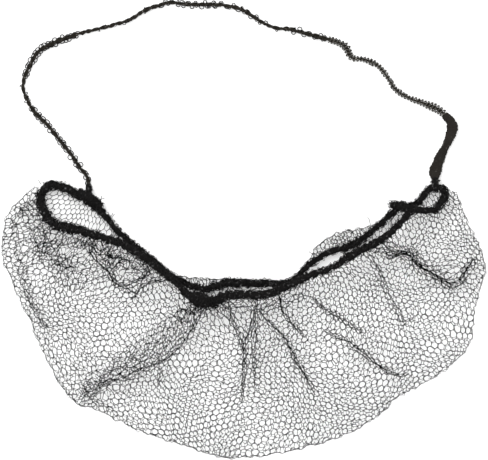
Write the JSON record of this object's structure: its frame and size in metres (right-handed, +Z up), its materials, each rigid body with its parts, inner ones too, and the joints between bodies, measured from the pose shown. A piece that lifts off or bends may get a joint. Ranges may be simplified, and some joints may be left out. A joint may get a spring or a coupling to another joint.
{
  "type": "beard net",
  "caption": "Disposable beard net lying flat: a pouch of knitted net with a gathered elastic round its mouth and a thin head elastic.",
  "frame": {"origin": "centre of the pouch and its rim on the surface that the net lies on, without the head elastic and its band", "axes": "+Z up from the surface, +X along the mouth from its open loop to its small ring, +Y from the pouch towards the head elastic"},
  "size_m": [0.2515, 0.2381, 0.018],
  "materials": {
    "net_yarn": "fine black knitted nylon net",
    "rim_yarn": "fuzzy gathered black elastic",
    "head_yarn": "thin cased charcoal elastic",
    "band_knit": "flat brown-black knitted band"
  },
  "bodies": {
    "root": {"net_pouch": "net_yarn", "rim_elastic": "rim_yarn", "elastic_tail": "rim_yarn", "head_elastic": "head_yarn", "side_band": "band_knit"}
  },
  "joints": []
}
